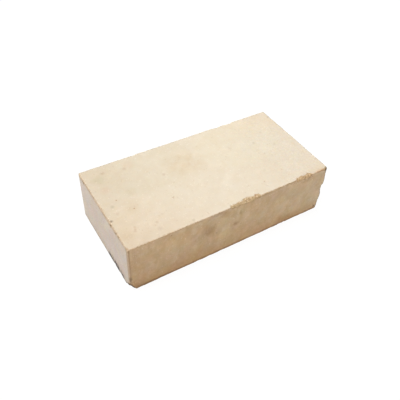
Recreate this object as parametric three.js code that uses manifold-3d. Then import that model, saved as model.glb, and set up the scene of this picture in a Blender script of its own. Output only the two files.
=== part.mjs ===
// A dry-pressed, fired clay block: one solid ceramic body with worn arrises,
// a broken bottom corner, a spalled end arris and edge chips.
// Millimetres, +Z up. The origin is the centre of the bottom bed face.
// +X runs along the length, -Y is the front stretcher face, -X the left header face.
import * as THREE from "three";
import { ConvexGeometry } from "three/addons/geometries/ConvexGeometry.js";
import { mergeVertices } from "three/addons/utils/BufferGeometryUtils.js";
import Module from "manifold-3d";

// ---- driving dimensions ----
const LENGTH = 250; // between the header faces
const WIDTH = 124; // between the stretcher faces
const HEIGHT = 65; // between the bed faces
const ARRIS = 0.9; // width of the worn bevel on every edge
const BODY_COLOUR = 0xe9dabf;

const X = LENGTH / 2;
const Y = WIDTH / 2;
const Z = HEIGHT;

// ---- chips ----
// Each scoop is an ellipsoid with rough facets, centred just outside the edge it bites.
// at: centre, r: semi-axes along X, Y and Z, rough: share of the radius that the facets vary by.
const CHIPS = [
  // front top arris
  { name: "front_top_corner", at: [X + 1, -Y - 1, Z + 1], r: [2.4, 2.2, 2.4], rough: 0.1 },
  { name: "front_top_bite_a", at: [25.6, -Y + 3.4, Z + 0.9], r: [1.9, 1.4, 1.6], rough: 0.12 },
  { name: "front_top_bite_b", at: [97.6, -Y + 3, Z + 0.9], r: [1.8, 1.4, 1.6], rough: 0.12 },
  { name: "front_top_bite_c", at: [12, -Y + 4, Z + 1.1], r: [3.2, 1.8, 1.9], rough: 0.12 },
  { name: "front_top_bite_d", at: [88.5, -Y + 3.2, Z + 1.1], r: [2.6, 1.7, 1.9], rough: 0.12 },
  { name: "front_top_step_a", at: [38.5, -Y - 0.6, Z + 0.9], r: [4.2, 2.1, 1.9], rough: 0.12 },
  { name: "front_top_step_b", at: [56.5, -Y - 0.7, Z + 0.9], r: [3.6, 2.1, 1.9], rough: 0.12 },
  { name: "front_top_left", at: [-60, -Y - 1.2, Z + 1.2], r: [5, 2.4, 2.2], rough: 0.12 },
  // left top arris
  { name: "left_top_a", at: [-X - 1, 48.5, Z - 3.6], r: [2.2, 2.1, 2], rough: 0.12 },
  { name: "left_top_b", at: [-X - 1, -8, Z - 2], r: [2.1, 1.8, 1.6], rough: 0.12 },
  { name: "left_top_notch", at: [-X - 1.1, -22.5, Z - 3.2], r: [2.6, 2.2, 2.6], rough: 0.12 },
  { name: "left_top_c", at: [-X - 1, -34.5, Z - 2.6], r: [2, 1.8, 1.6], rough: 0.12 },
  { name: "left_top_d", at: [-X - 0.9, -40.5, Z - 1.8], r: [1.9, 1.6, 1.5], rough: 0.12 },
  // left bottom arris
  { name: "left_bottom_a", at: [-X - 1.4, -12, -1.4], r: [2.1, 4.5, 3.4], rough: 0.12 },
  { name: "left_bottom_b", at: [-X - 1.5, -22.5, -1.2], r: [2.1, 4.2, 4.6], rough: 0.12 },
  { name: "left_bottom_c", at: [-X - 1.4, -38, -1.4], r: [2.1, 6, 3.8], rough: 0.12 },
  { name: "left_back_foot", at: [-X - 1.3, Y + 1.3, -1.3], r: [2.6, 2.6, 2.7], rough: 0.1 },
  // back and right edges
  { name: "right_top_notch", at: [X + 2.6, 46, Z + 2.4], r: [4.4, 5.6, 4.2], rough: 0.12 },
  { name: "back_top_a", at: [-60, Y + 3.2, Z + 3.2], r: [9, 5.6, 5.4], rough: 0.12 },
  { name: "back_bottom_a", at: [48, Y + 3, -3], r: [13, 6.2, 6.4], rough: 0.12 },
  { name: "right_back_upright", at: [X + 3, Y + 3, 24], r: [6, 6.2, 10], rough: 0.12 },
  { name: "right_back_foot", at: [X + 2, Y + 1.8, -1.2], r: [7.4, 6.6, 6], rough: 0.1 },
];

// ---- crumbled stretches of an arris ----
// A run is a loft along one arris. along: the axis it follows, at_v and at_w: where the arris
// lies on the next two axes in X, Y, Z order, reach_v and reach_w: how far the crumbling comes
// in along each of them. in_v and in_w point from the arris into the block.
const RUNS = [
  { name: "front_top_mid", along: 0, from: -11, to: 34, at_v: -Y, in_v: 1, reach_v: 4.6, at_w: Z, in_w: -1, reach_w: 3.2 },
  { name: "front_top_right", along: 0, from: 77, to: 105, at_v: -Y, in_v: 1, reach_v: 3.6, at_w: Z, in_w: -1, reach_w: 4.8 },
  { name: "front_top_lesser", along: 0, from: 60, to: 87, at_v: -Y, in_v: 1, reach_v: 0.9, at_w: Z, in_w: -1, reach_w: 2.4 },
  { name: "back_top", along: 0, from: 44, to: 78, at_v: Y, in_v: -1, reach_v: 1.2, at_w: Z, in_w: -1, reach_w: 4.6 },
  { name: "right_bottom", along: 1, from: -22, to: 12, at_v: X, in_v: -1, reach_v: 2.6, at_w: 0, in_w: 1, reach_w: 4.6 },
];
const RUN_STEP = 2.5; // between the stations of a loft
const RUN_FADE = 5; // over which a run dies out at each end

// The front upright arris at the right end has spalled away: [height, depth lost along X].
const SPALL = [
  [-2, 2.6], [1.8, 2.3], [3.6, 2], [5, 1.5], [8, 1.7], [12, 1.45], [15.3, 1.2], [17, 0.8], [20, 0.6],
  [23.5, 0.3], [27, 1.15], [30.8, 2], [33, 2.2], [35.9, 2.5], [37.8, 2.5], [39.2, 1.9], [40.3, 0.3],
  [41.3, 0], [44.5, 0.1], [47.7, 0.15], [51, 0.75], [54, 1.1], [57.7, 1.5], [60, 1.65], [63, 1.5], [67, 1.1],
];
const SPALL_REACH = 5.6; // along Y on the header face, where the loss is 1 mm or more

// The broken bottom corner at the left of the front face: a rough plane through three
// points, at these distances from the corner.
const BREAK = { along_x: 6, along_y: 13.5, along_z: 15 };

// ---- helpers ----
const wasm = await Module();
wasm.setup();

// Smooth, repeatable variation from -1 to 1, with features about one unit across.
function vary(x, y, z, seed) {
  const s = seed * 12.9898;
  return (
    (Math.sin(1.7 * x + 2.3 * y + s) * Math.cos(2.1 * z - 1.3 * x + 0.7 * s) +
      Math.sin(3.1 * y - 2.7 * z + 1.9 * s) * Math.cos(3.7 * x + 1.1 * s) * 0.7 +
      Math.sin(6.1 * z + 5.3 * x - 0.4 * s) * Math.cos(5.7 * y + 2.2 * s) * 0.35) /
    2.05
  );
}

// Closed three.js geometry to a manifold solid: only merged positions are kept.
function solidOf(geometry) {
  const bare = new THREE.BufferGeometry();
  const source = geometry.index ? geometry.toNonIndexed() : geometry;
  bare.setAttribute("position", source.getAttribute("position").clone());
  const merged = mergeVertices(bare, 1e-4);
  return new wasm.Manifold(
    new wasm.Mesh({
      numProp: 3,
      vertProperties: merged.attributes.position.array,
      triVerts: new Uint32Array(merged.index.array),
    }),
  );
}

function geometryOf(solid) {
  const m = solid.getMesh();
  const vertices = new Float32Array(m.numVert * 3);
  for (let i = 0; i < m.numVert; i++)
    vertices.set(m.vertProperties.subarray(i * m.numProp, i * m.numProp + 3), i * 3);
  const g = new THREE.BufferGeometry();
  g.setAttribute("position", new THREE.BufferAttribute(vertices, 3));
  g.setIndex(new THREE.BufferAttribute(new Uint32Array(m.triVerts), 1));
  g.computeVertexNormals();
  return g;
}

// The block before wear: a box whose edges are bevelled by ARRIS.
function blankGeometry() {
  const points = [];
  for (const sx of [-1, 1])
    for (const sy of [-1, 1])
      for (const sz of [0, 1]) {
        const z = sz ? Z : 0;
        const dz = sz ? -ARRIS : ARRIS;
        points.push(
          new THREE.Vector3(sx * X, sy * (Y - ARRIS), z + dz),
          new THREE.Vector3(sx * (X - ARRIS), sy * Y, z + dz),
          new THREE.Vector3(sx * (X - ARRIS), sy * (Y - ARRIS), z),
        );
      }
  return new ConvexGeometry(points);
}

// One chip: an icosphere pushed in and out, then stretched and placed.
function scoopGeometry(chip, seed) {
  const g = new THREE.IcosahedronGeometry(1, Math.max(...chip.r) < 3.5 ? 4 : 7);
  const p = g.getAttribute("position");
  const v = new THREE.Vector3();
  for (let i = 0; i < p.count; i++) {
    v.fromBufferAttribute(p, i).normalize();
    const k = 1 + chip.rough * vary(v.x * 2.2, v.y * 2.2, v.z * 2.2, seed);
    p.setXYZ(
      i,
      chip.at[0] + v.x * k * chip.r[0],
      chip.at[1] + v.y * k * chip.r[1],
      chip.at[2] + v.z * k * chip.r[2],
    );
  }
  return g;
}

// A loft through four-sided sections. Each section is [p, q, r, s] in order round it.
function loftGeometry(sections) {
  const out = [];
  const tri = (a, b, c) => [a, b, c].forEach((q) => out.push(q.x, q.y, q.z));
  const quad = (a, b, c, d) => (tri(a, b, c), tri(a, c, d));
  for (let i = 0; i + 1 < sections.length; i++)
    for (let k = 0; k < 4; k++) {
      const n = (k + 1) % 4;
      quad(sections[i][k], sections[i][n], sections[i + 1][n], sections[i + 1][k]);
    }
  const first = sections[0];
  const last = sections[sections.length - 1];
  quad(first[3], first[2], first[1], first[0]);
  quad(last[0], last[1], last[2], last[3]);
  // turn every face round if the loft came out inside out
  const v = (i) => new THREE.Vector3(out[i], out[i + 1], out[i + 2]);
  let volume = 0;
  for (let i = 0; i < out.length; i += 9) volume += v(i).dot(v(i + 3).cross(v(i + 6)));
  if (volume < 0)
    for (let i = 0; i < out.length; i += 9)
      for (let k = 0; k < 3; k++) [out[i + k], out[i + 3 + k]] = [out[i + 3 + k], out[i + k]];
  const g = new THREE.BufferGeometry();
  g.setAttribute("position", new THREE.Float32BufferAttribute(out, 3));
  return g;
}

// One section of a crumbled arris: it passes through the two reaches, stands a little
// proud between them, and closes outside the block.
function arrisSection(run, at, rv, rw, belly) {
  const [u, v, w] = [[0, 1, 2], [1, 0, 2], [2, 0, 1]][run.along];
  const point = (dv, dw) => {
    const q = [0, 0, 0];
    q[u] = at;
    q[v] = run.at_v + run.in_v * dv;
    q[w] = run.at_w + run.in_w * dw;
    return new THREE.Vector3(...q);
  };
  return [
    point(rv * 1.3, -rw * 0.3),
    point(rv * belly, rw * belly),
    point(-rv * 0.3, rw * 1.3),
    point(-3 - rv, -3 - rw),
  ];
}

function runGeometry(run, seed) {
  const steps = Math.round((run.to - run.from) / RUN_STEP);
  const sections = [];
  for (let i = 0; i <= steps; i++) {
    const at = run.from + ((run.to - run.from) * i) / steps;
    const end = Math.min(1, Math.min(at - run.from, run.to - at) / RUN_FADE);
    const size = Math.max(0.06, end * (1 + 0.28 * vary(at * 0.21, seed, 0.3, seed)));
    sections.push(
      arrisSection(run, at, run.reach_v * size, run.reach_w * size, 0.44 + 0.09 * vary(at * 0.5, seed, 1.7, seed + 3)),
    );
  }
  return loftGeometry(sections);
}

function spallGeometry() {
  const run = { along: 2, at_v: X, in_v: -1, at_w: -Y, in_w: 1 };
  const sections = SPALL.map(([at, lost]) => {
    const depth = Math.max(lost, 0.05);
    const reach = SPALL_REACH * Math.min(1, depth) * (1 + 0.3 * vary(at * 0.12, 2.1, 0.4, 9));
    return arrisSection(run, at, depth, reach, 0.47);
  });
  return loftGeometry(sections);
}

// The corner break: a rough patch through the three points, closed by a far point
// outside the block.
function breakGeometry() {
  const a = new THREE.Vector3(-X + BREAK.along_x, -Y, 0);
  const b = new THREE.Vector3(-X, -Y + BREAK.along_y, 0);
  const c = new THREE.Vector3(-X, -Y, BREAK.along_z);
  const centre = new THREE.Vector3().add(a).add(b).add(c).divideScalar(3);
  const inward = new THREE.Vector3()
    .subVectors(b, a)
    .cross(new THREE.Vector3().subVectors(c, a))
    .normalize();
  if (inward.dot(new THREE.Vector3(1, 1, 1)) < 0) inward.negate();
  // the patch is a larger triangle, so that it runs past the three faces
  const [A, B, C] = [a, b, c].map((q) =>
    new THREE.Vector3().subVectors(q, centre).multiplyScalar(2.2).add(centre),
  );
  const far = centre.clone().addScaledVector(inward, -30);
  const N = 12;
  const at = (i, j) => {
    const q = new THREE.Vector3()
      .addScaledVector(A, 1 - (i + j) / N)
      .addScaledVector(B, i / N)
      .addScaledVector(C, j / N);
    const off = q.distanceTo(centre);
    const lift = 0.55 * vary(q.x * 0.45, q.y * 0.45, q.z * 0.45, 5) - 1.1 * Math.exp(-(off * off) / 30);
    return q.addScaledVector(inward, lift);
  };
  const out = [];
  const push = (...t) => t.forEach((q) => out.push(q.x, q.y, q.z));
  const flip =
    new THREE.Vector3().subVectors(B, A).cross(new THREE.Vector3().subVectors(C, A)).dot(inward) < 0;
  const tri = (p, q, r) => (flip ? push(p, r, q) : push(p, q, r));
  for (let i = 0; i < N; i++)
    for (let j = 0; j < N - i; j++) {
      tri(at(i, j), at(i + 1, j), at(i, j + 1));
      if (j < N - i - 1) tri(at(i + 1, j), at(i + 1, j + 1), at(i, j + 1));
    }
  for (let k = 0; k < N; k++) {
    tri(at(k + 1, 0), at(k, 0), far);
    tri(at(0, k), at(0, k + 1), far);
    tri(at(N - k - 1, k + 1), at(N - k, k), far);
  }
  const g = new THREE.BufferGeometry();
  g.setAttribute("position", new THREE.Float32BufferAttribute(out, 3));
  return g;
}

// ---- the block ----
let body = solidOf(blankGeometry());
CHIPS.forEach((chip, i) => {
  body = body.subtract(solidOf(scoopGeometry(chip, i + 1)));
});
RUNS.forEach((run, i) => {
  body = body.subtract(solidOf(runGeometry(run, i + 1)));
});
body = body.subtract(solidOf(spallGeometry()));
body = body.subtract(solidOf(breakGeometry()));

const root = new THREE.Group();
const brickBody = new THREE.Mesh(
  geometryOf(body),
  new THREE.MeshStandardMaterial({ color: BODY_COLOUR, roughness: 0.93, metalness: 0 }),
);
brickBody.name = "brick_body";
root.add(brickBody);

export default root;
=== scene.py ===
import math

import bpy
import numpy as np
from mathutils import Matrix, Vector


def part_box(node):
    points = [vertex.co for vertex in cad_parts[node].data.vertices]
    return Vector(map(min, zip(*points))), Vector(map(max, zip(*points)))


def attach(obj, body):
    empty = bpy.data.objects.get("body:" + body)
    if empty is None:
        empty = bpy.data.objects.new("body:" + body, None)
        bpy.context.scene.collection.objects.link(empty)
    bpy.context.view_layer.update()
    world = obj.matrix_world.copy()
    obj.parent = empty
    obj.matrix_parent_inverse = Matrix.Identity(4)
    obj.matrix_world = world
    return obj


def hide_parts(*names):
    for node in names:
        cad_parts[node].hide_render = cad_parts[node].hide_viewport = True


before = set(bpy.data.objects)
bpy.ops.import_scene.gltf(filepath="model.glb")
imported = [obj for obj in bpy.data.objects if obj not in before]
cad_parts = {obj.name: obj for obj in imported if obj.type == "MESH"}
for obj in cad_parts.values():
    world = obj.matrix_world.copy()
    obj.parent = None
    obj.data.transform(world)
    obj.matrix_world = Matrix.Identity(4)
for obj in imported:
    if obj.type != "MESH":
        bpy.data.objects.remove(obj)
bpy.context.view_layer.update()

# ---------------------------------------------------------------- sizes (mm)
low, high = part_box("brick_body")
LO = np.array(low) * 1000.0
HI = np.array(high) * 1000.0
MID = (LO + HI) / 2
HALF = (HI - LO) / 2
X, Y, Z = HI[0], HI[1], HI[2]
BASE = 2.0  # side of a coarse surface cell
CORE = 14.0  # depth of the core that the surface is projected from

# ---------------------------------------------------------------- noise


def _hash(ix, iy, iz, seed):
    """Repeatable value from -1 to 1 for each lattice point."""
    h = (
        ix.astype(np.uint32) * np.uint32(374761393)
        + iy.astype(np.uint32) * np.uint32(668265263)
        + iz.astype(np.uint32) * np.uint32(2246822519)
        + np.uint32((seed * 3266489917) & 0xFFFFFFFF)
    )
    h = (h ^ (h >> np.uint32(15))) * np.uint32(2246822519)
    h = (h ^ (h >> np.uint32(13))) * np.uint32(3266489917)
    h = h ^ (h >> np.uint32(16))
    return h.astype(np.float64) / 2147483647.5 - 1.0


def noise(p, size, seed):
    """Smooth value noise from -1 to 1 with features of about that size, in mm."""
    q = p / size + 1000.0
    i = np.floor(q).astype(np.int64)
    f = q - i
    u = f * f * f * (f * (f * 6 - 15) + 10)
    out = np.zeros(len(p))
    for dx in (0, 1):
        wx = u[:, 0] if dx else 1 - u[:, 0]
        for dy in (0, 1):
            wy = wx * (u[:, 1] if dy else 1 - u[:, 1])
            for dz in (0, 1):
                wz = wy * (u[:, 2] if dz else 1 - u[:, 2])
                out += wz * _hash(i[:, 0] + dx, i[:, 1] + dy, i[:, 2] + dz, seed)
    return out


def fbm(p, size, seed, octaves=3, gain=0.5):
    total, amp, norm = 0.0, 1.0, 0.0
    for k in range(octaves):
        total = total + amp * noise(p, size / 2.03**k, seed + 17 * k)
        norm += amp
        amp *= gain
    return total / norm


def smooth(a, b, v):
    t = np.clip((v - a) / (b - a), 0, 1)
    return t * t * (3 - 2 * t)


# ---------------------------------------------------------------- shape
# Chips: an ellipsoid with a rough wall, centred outside the edge that it bites, in mm.
CHIPS = [
    ("front_top_corner", (X + 1.0, -Y - 1.0, Z + 1.0), (2.4, 2.2, 2.4), 0.10),
    ("front_top_bite_a", (25.6, -Y + 3.4, Z + 0.9), (1.9, 1.4, 1.6), 0.14),
    ("front_top_bite_b", (97.6, -Y + 3.0, Z + 0.9), (1.8, 1.4, 1.6), 0.14),
    ("front_top_bite_c", (12.0, -Y + 4.0, Z + 1.1), (3.2, 1.8, 1.9), 0.14),
    ("front_top_bite_d", (88.5, -Y + 3.2, Z + 1.1), (2.6, 1.7, 1.9), 0.14),
    ("front_top_step_a", (38.5, -Y - 0.6, Z + 0.9), (4.2, 2.1, 1.9), 0.12),
    ("front_top_step_b", (56.5, -Y - 0.7, Z + 0.9), (3.6, 2.1, 1.9), 0.12),
    ("front_top_left_b", (-60, -Y - 1.2, Z + 1.2), (5.0, 2.4, 2.2), 0.12),
    ("left_top_a", (-X - 1.0, 48.5, Z - 3.6), (2.2, 2.1, 2.0), 0.14),
    ("left_top_b", (-X - 1.0, -8.0, Z - 2.0), (2.1, 1.8, 1.6), 0.14),
    ("left_top_notch", (-X - 1.1, -22.5, Z - 3.2), (2.6, 2.2, 2.6), 0.14),
    ("left_top_c", (-X - 1.0, -34.5, Z - 2.6), (2.0, 1.8, 1.6), 0.14),
    ("left_top_d", (-X - 0.9, -40.5, Z - 1.8), (1.9, 1.6, 1.5), 0.14),
    ("left_bottom_a", (-X - 1.4, -12, -1.4), (2.1, 4.5, 3.4), 0.14),
    ("left_bottom_b", (-X - 1.5, -22.5, -1.2), (2.1, 4.2, 4.6), 0.14),
    ("left_bottom_c", (-X - 1.4, -38, -1.4), (2.1, 6.0, 3.8), 0.14),
    ("left_back_foot", (-X - 1.3, Y + 1.3, -1.3), (2.6, 2.6, 2.7), 0.10),
    ("right_top_notch", (X + 2.6, 46, Z + 2.4), (4.4, 5.6, 4.2), 0.12),
    ("back_top_a", (-60, Y + 3.2, Z + 3.2), (9, 5.6, 5.4), 0.12),
    ("back_bottom_a", (48, Y + 3, -3), (13, 6.2, 6.4), 0.12),
    ("right_back_upright", (X + 3, Y + 3, 24), (6, 6.2, 10), 0.12),
    ("right_back_foot", (X + 2, Y + 1.8, -1.2), (7.4, 6.6, 6), 0.10),
]
TOP, BOTTOM = (2, 1), (2, -1)
FRONT, BACK = (1, -1), (1, 1)
LEFT, RIGHT = (0, -1), (0, 1)
# Worn stretches of an arris: name, axis along it, start, end, first face and how far the wear
# reaches in on it, second face and its reach, roughness, and whether it is broken or rubbed.
ARRISES = [
    ("front_top_mid", 0, -11, 34, TOP, 4.6, FRONT, 3.2, 0.55, "broken"),
    ("front_top_right", 0, 77, 105, TOP, 3.6, FRONT, 4.2, 0.65, "broken"),
    ("front_top_lesser", 0, 60, 87, TOP, 0.9, FRONT, 2.4, 0.40, "broken"),
    ("front_top_end", 0, 104, 128, TOP, 1.3, FRONT, 1.7, 0.40, "broken"),
    ("front_top", 0, -128, 128, TOP, 1.15, FRONT, 1.0, 0.28, "rubbed"),
    ("left_top", 1, -68, 68, TOP, 0.8, LEFT, 2.4, 0.28, "rubbed"),
    ("left_front", 2, 6, 70, LEFT, 1.5, FRONT, 0.35, 0.18, "rubbed"),
    ("left_bottom", 1, -50, 68, LEFT, 0.7, BOTTOM, 0.9, 0.20, "rubbed"),
    ("front_bottom", 0, -20, 130, FRONT, 0.6, BOTTOM, 0.8, 0.20, "rubbed"),
    ("front_bottom_right", 0, 62, 130, FRONT, 1.3, BOTTOM, 1.4, 0.24, "rubbed"),
    ("right_top", 1, -68, 68, TOP, 0.7, RIGHT, 0.9, 0.20, "rubbed"),
    ("right_bottom", 1, -68, 68, RIGHT, 1.3, BOTTOM, 1.3, 0.36, "rubbed"),
    ("right_bottom_spall", 1, -22, 12, RIGHT, 4.6, BOTTOM, 2.6, 0.80, "broken"),
    ("back_top_spall", 0, 44, 78, TOP, 1.2, BACK, 4.6, 0.60, "broken"),
    ("back_top", 0, -130, 130, TOP, 0.6, BACK, 0.9, 0.18, "rubbed"),
    ("back_bottom", 0, -130, 130, BACK, 1.2, BOTTOM, 1.2, 0.34, "rubbed"),
    ("back_left", 2, -4, 70, BACK, 0.3, LEFT, 0.3, 0.12, "rubbed"),
    ("back_right", 2, -2, 68, BACK, 1.8, RIGHT, 1.8, 0.40, "rubbed"),
]
# The front upright arris at the right end has spalled away: height, and depth lost there
SPALL_Z = (-2.0, 1.8, 3.6, 5.0, 8.0, 12.0, 15.3, 17.0, 20.0, 23.5, 27.0, 30.8, 33.0, 35.9, 37.8, 39.2, 40.3, 41.3, 44.5, 47.7, 51.0, 54.0, 57.7, 60.0, 63.0, 65.0)
SPALL_D = (2.6, 2.3, 2.0, 1.5, 1.7, 1.45, 1.2, 0.8, 0.6, 0.3, 1.15, 2.0, 2.2, 2.5, 2.5, 1.9, 0.3, 0.0, 0.1, 0.15, 0.75, 1.1, 1.5, 1.65, 1.5, 1.1)
BREAK = (6.0, 13.5, 15.0)  # corner break: reach along X, Y and Z

_ba = np.array([-X + BREAK[0], -Y, 0.0])
_bb = np.array([-X, -Y + BREAK[1], 0.0])
_bc = np.array([-X, -Y, BREAK[2]])
BREAK_AT = (_ba + _bb + _bc) / 3
_n = np.cross(_bb - _ba, _bc - _ba)
BREAK_OUT = _n / np.linalg.norm(_n)
if BREAK_OUT @ (np.array([-X, -Y, 0.0]) - BREAK_AT) < 0:
    BREAK_OUT = -BREAK_OUT

# Small pits in the pressed skin: (point on the surface, radius, depth)
_rng = np.random.default_rng(4107)


def _scatter(count, face, r_low, r_high):
    out = []
    for _ in range(count):
        a, b = _rng.uniform(-1, 1, 2)
        r = r_low + (r_high - r_low) * _rng.uniform() ** 2.4
        axis, side = face
        p = MID.copy()
        u, v = [k for k in (0, 1, 2) if k != axis]
        p[u] += a * (HALF[u] - 4)
        p[v] += b * (HALF[v] - 4)
        p[axis] = HI[axis] if side > 0 else LO[axis]
        out.append((p, r, r * _rng.uniform(0.28, 0.55)))
    return out


PITS = []
for _face, _count in (
    ((2, 1), 46),
    ((2, -1), 46),
    ((1, -1), 26),
    ((1, 1), 26),
    ((0, -1), 18),
    ((0, 1), 18),
):
    PITS += _scatter(_count, _face, 0.45, 1.35)
PIT_P = np.array([p for p, r, d in PITS])
PIT_R = np.array([r for p, r, d in PITS])
PIT_D = np.array([d for p, r, d in PITS])


def wear_radius(p):
    """How far the arrises are rounded at each point, in mm."""
    r = 0.50 + 0.18 * noise(p, 22, 3) + 0.22 * noise(p, 5.0, 5) + 0.12 * noise(p, 1.7, 7)
    r = r + 1.9 * np.maximum(0, noise(p, 7.5, 11) - 0.44)
    return np.maximum(r, 0.25)


def worn_box(p):
    r = wear_radius(p)
    q = np.abs(p - MID) - HALF + r[:, None]
    return (
        np.linalg.norm(np.maximum(q, 0), axis=1) + np.minimum(q.max(1), 0) - r
    )


def below(p, face):
    """Depth below a face of the block, in mm."""
    axis, side = face
    return HI[axis] - p[:, axis] if side > 0 else p[:, axis] - LO[axis]


def arris_cut(p, kind):
    cut = np.full(len(p), -50.0)
    for k, (name, along, start, end, fa, ra, fb, rb, rough, how) in enumerate(ARRISES):
        if how != kind:
            continue
        da, db, s = below(p, fa), below(p, fb), p[:, along]
        near = (s > start - 1) & (s < end + 1) & (db < 2.2 * ra + 2) & (da < 2.2 * rb + 2)
        if not near.any():
            continue
        q = p[near]
        soft = 5.0 if kind == "broken" else 3.0
        w = smooth(start, start + soft, s[near]) * (1 - smooth(end - soft, end, s[near]))
        thin = np.ones(3) * 0.35
        thin[along] = 1.0
        scallop = 1 + 0.16 * noise(q * thin, 11.0, 190 + k) + 0.24 * noise(q * thin, 5.2, 200 + k)
        scallop = scallop + 0.18 * noise(q * thin, 2.3, 230 + k)
        if kind == "rubbed":
            scallop = scallop + 0.35 * noise(q * thin, 26, 260 + k)
        grown = (1.5 * w - 0.5) * scallop
        size = np.maximum(grown, 0.08)
        # between a flat bevel and a rounded edge
        u, v = 1 - db[near] / (ra * size), 1 - da[near] / (rb * size)
        bend = 1.3 if kind == "broken" else 1.5
        e = (np.maximum(u, 0) ** bend + np.maximum(v, 0) ** bend) ** (1 / bend)
        body = (e - 1 + np.minimum(u, 0) + np.minimum(v, 0)) * size / math.hypot(1 / ra, 1 / rb)
        body = body - 1.5 * np.maximum(0.2 - grown, 0)
        wall = 0.50 * fbm(q, 3.1, 300 + k, 3, 0.62) + 0.42 * noise(q, 1.25, 330 + k)
        cut[near] = np.maximum(cut[near], body + rough * wall * np.clip(size, 0, 1))
    return cut


def spall_cut(p):
    cut = np.full(len(p), -50.0)
    near = (X - p[:, 0] < 6) & (p[:, 1] + Y < 14)
    if near.any():
        q = p[near]
        lost = np.interp(q[:, 2], SPALL_Z, SPALL_D)
        reach = 6.6 + 3.2 * noise(q * np.array([0.3, 0.3, 1.0]), 13.0, 86) + 1.6 * noise(q, 4.2, 85)
        taper = 1 - smooth(0, reach, q[:, 1] + Y)
        wall = 0.40 * fbm(q, 3.0, 87, 3, 0.58) + 0.15 * noise(q, 1.1, 88)
        cut[near] = (lost + 0.55) * taper - 0.55 - (X - q[:, 0]) + wall * smooth(0.3, 1.2, lost) * taper
    return cut


def chip_cut(p):
    """Above 0 where a chip or the corner break has taken material away, in mm."""
    cut = arris_cut(p, "broken")
    for k, (name, at, r, rough) in enumerate(CHIPS):
        at, r = np.array(at, float), np.array(r, float)
        near = (np.abs(p - at) < r * 1.5 + 2).all(1)
        if not near.any():
            continue
        q = (p[near] - at) / r
        e = np.linalg.norm(q, axis=1)
        small = r.min()
        wall = (
            rough * fbm(p[near], 3.6, 40 + k, 3, 0.55)
            + 0.5 * rough * noise(p[near], 1.1, 70 + k)
        )
        cut[near] = np.maximum(cut[near], (1 + 1.15 * wall - e) * small)
    cut = np.maximum(cut, spall_cut(p))
    side = (p - BREAK_AT) @ BREAK_OUT
    near = np.linalg.norm(p - BREAK_AT, axis=1) < 24
    if near.any():
        q = p[near]
        off = np.linalg.norm(q - BREAK_AT, axis=1)
        bulge = 0.8 * np.exp(-(off**2) / 30)
        rough = 0.62 * fbm(q, 4.6, 90, 3, 0.6) + 0.30 * noise(q, 1.3, 95)
        ledge = 0.55 * smooth(0.0, 0.12, noise(q, 6.5, 97))
        cut[near] = np.maximum(cut[near], side[near] - bulge - rough + ledge - 0.2)
    return cut


def rub_cut(p):
    return arris_cut(p, "rubbed")


def relief(p):
    """Depth of the uneven pressed skin below the true face, in mm."""
    d = 0.07 + 0.05 * noise(p, 70, 21) + 0.035 * noise(p, 17, 23) + 0.012 * noise(p, 4.5, 25)
    return np.maximum(d, 0)


def pit_depth(p):
    out = np.zeros(len(p))
    for at, r, d in zip(PIT_P, PIT_R, PIT_D):
        near = (np.abs(p - at) < r * 1.6 + 1.0).all(1)
        if near.any():
            q = p[near] - at
            rr = r * (1 + 0.25 * noise(p[near], 1.1, 31))
            e = np.linalg.norm(q, axis=1) / rr
            out[near] = np.maximum(out[near], d * (1 - smooth(0.35, 1.0, e)))
    return out


def field(p, pits):
    body = worn_box(p) + relief(p) + pits
    return np.maximum(np.maximum(body, rub_cut(p) + 0.6 * pits), chip_cut(p))


# ---------------------------------------------------------------- mesh
# The surface is a grid of 2 mm cells, split down to 0.5 mm along the arrises, chips and pits.
STEP = 16  # lattice steps in a coarse cell; even, so that cell centres are on the lattice
COUNT = np.array([125, 62, 32])
UNIT = (HI - LO) / (COUNT * STEP)


def lattice_mm(k):
    return LO + k * UNIT


def wanted_level(p, face_axis):
    """0, 1 or 2: how often a coarse cell is halved there."""
    level = np.zeros(len(p), int)
    u, v = [k for k in (0, 1, 2) if k != face_axis]
    edge = np.minimum(HALF[u] - np.abs(p[:, u] - MID[u]), HALF[v] - np.abs(p[:, v] - MID[v]))
    level[edge < 4.3] = 1
    level[edge < 3.1] = 2
    cut = chip_cut(p)
    level[cut > -3.2] = np.maximum(level[cut > -3.2], 1)
    level[cut > -1.6] = 2
    for at, r in zip(PIT_P, PIT_R):
        d = np.linalg.norm(p - at, axis=1)
        level[d < r + 2.4] = np.maximum(level[d < r + 2.4], 1)
        level[d < r + 1.0] = 2
    return level


cells = []  # (corner lattice points in outward order, size)
for axis in (0, 1, 2):
    u, v = [k for k in (0, 1, 2) if k != axis]
    for side in (-1, 1):
        iu, iv = np.meshgrid(np.arange(COUNT[u]), np.arange(COUNT[v]), indexing="ij")
        cu, cv = iu.ravel() * STEP, iv.ravel() * STEP
        size = STEP
        for level in range(3):
            c = np.zeros((len(cu), 3), int)
            c[:, u] = cu + size // 2
            c[:, v] = cv + size // 2
            c[:, axis] = COUNT[axis] * STEP if side > 0 else 0
            split = (
                wanted_level(lattice_mm(c), axis) > level
                if level < 2
                else np.zeros(len(cu), bool)
            )
            keep = ~split
            for a, b in zip(cu[keep], cv[keep]):
                ring = [(a, b), (a + size, b), (a + size, b + size), (a, b + size)]
                # outward order: u x v points along +axis for axes 0 and 2, along -axis for axis 1
                forward = (side > 0) == (axis != 1)
                if not forward:
                    ring = ring[::-1]
                cells.append((axis, side, ring, size))
            h = size // 2
            cu, cv = cu[split], cv[split]
            cu = np.concatenate([cu, cu + h, cu, cu + h])
            cv = np.concatenate([cv, cv, cv + h, cv + h])
            size = h

SPAN = COUNT * STEP + 1


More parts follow.
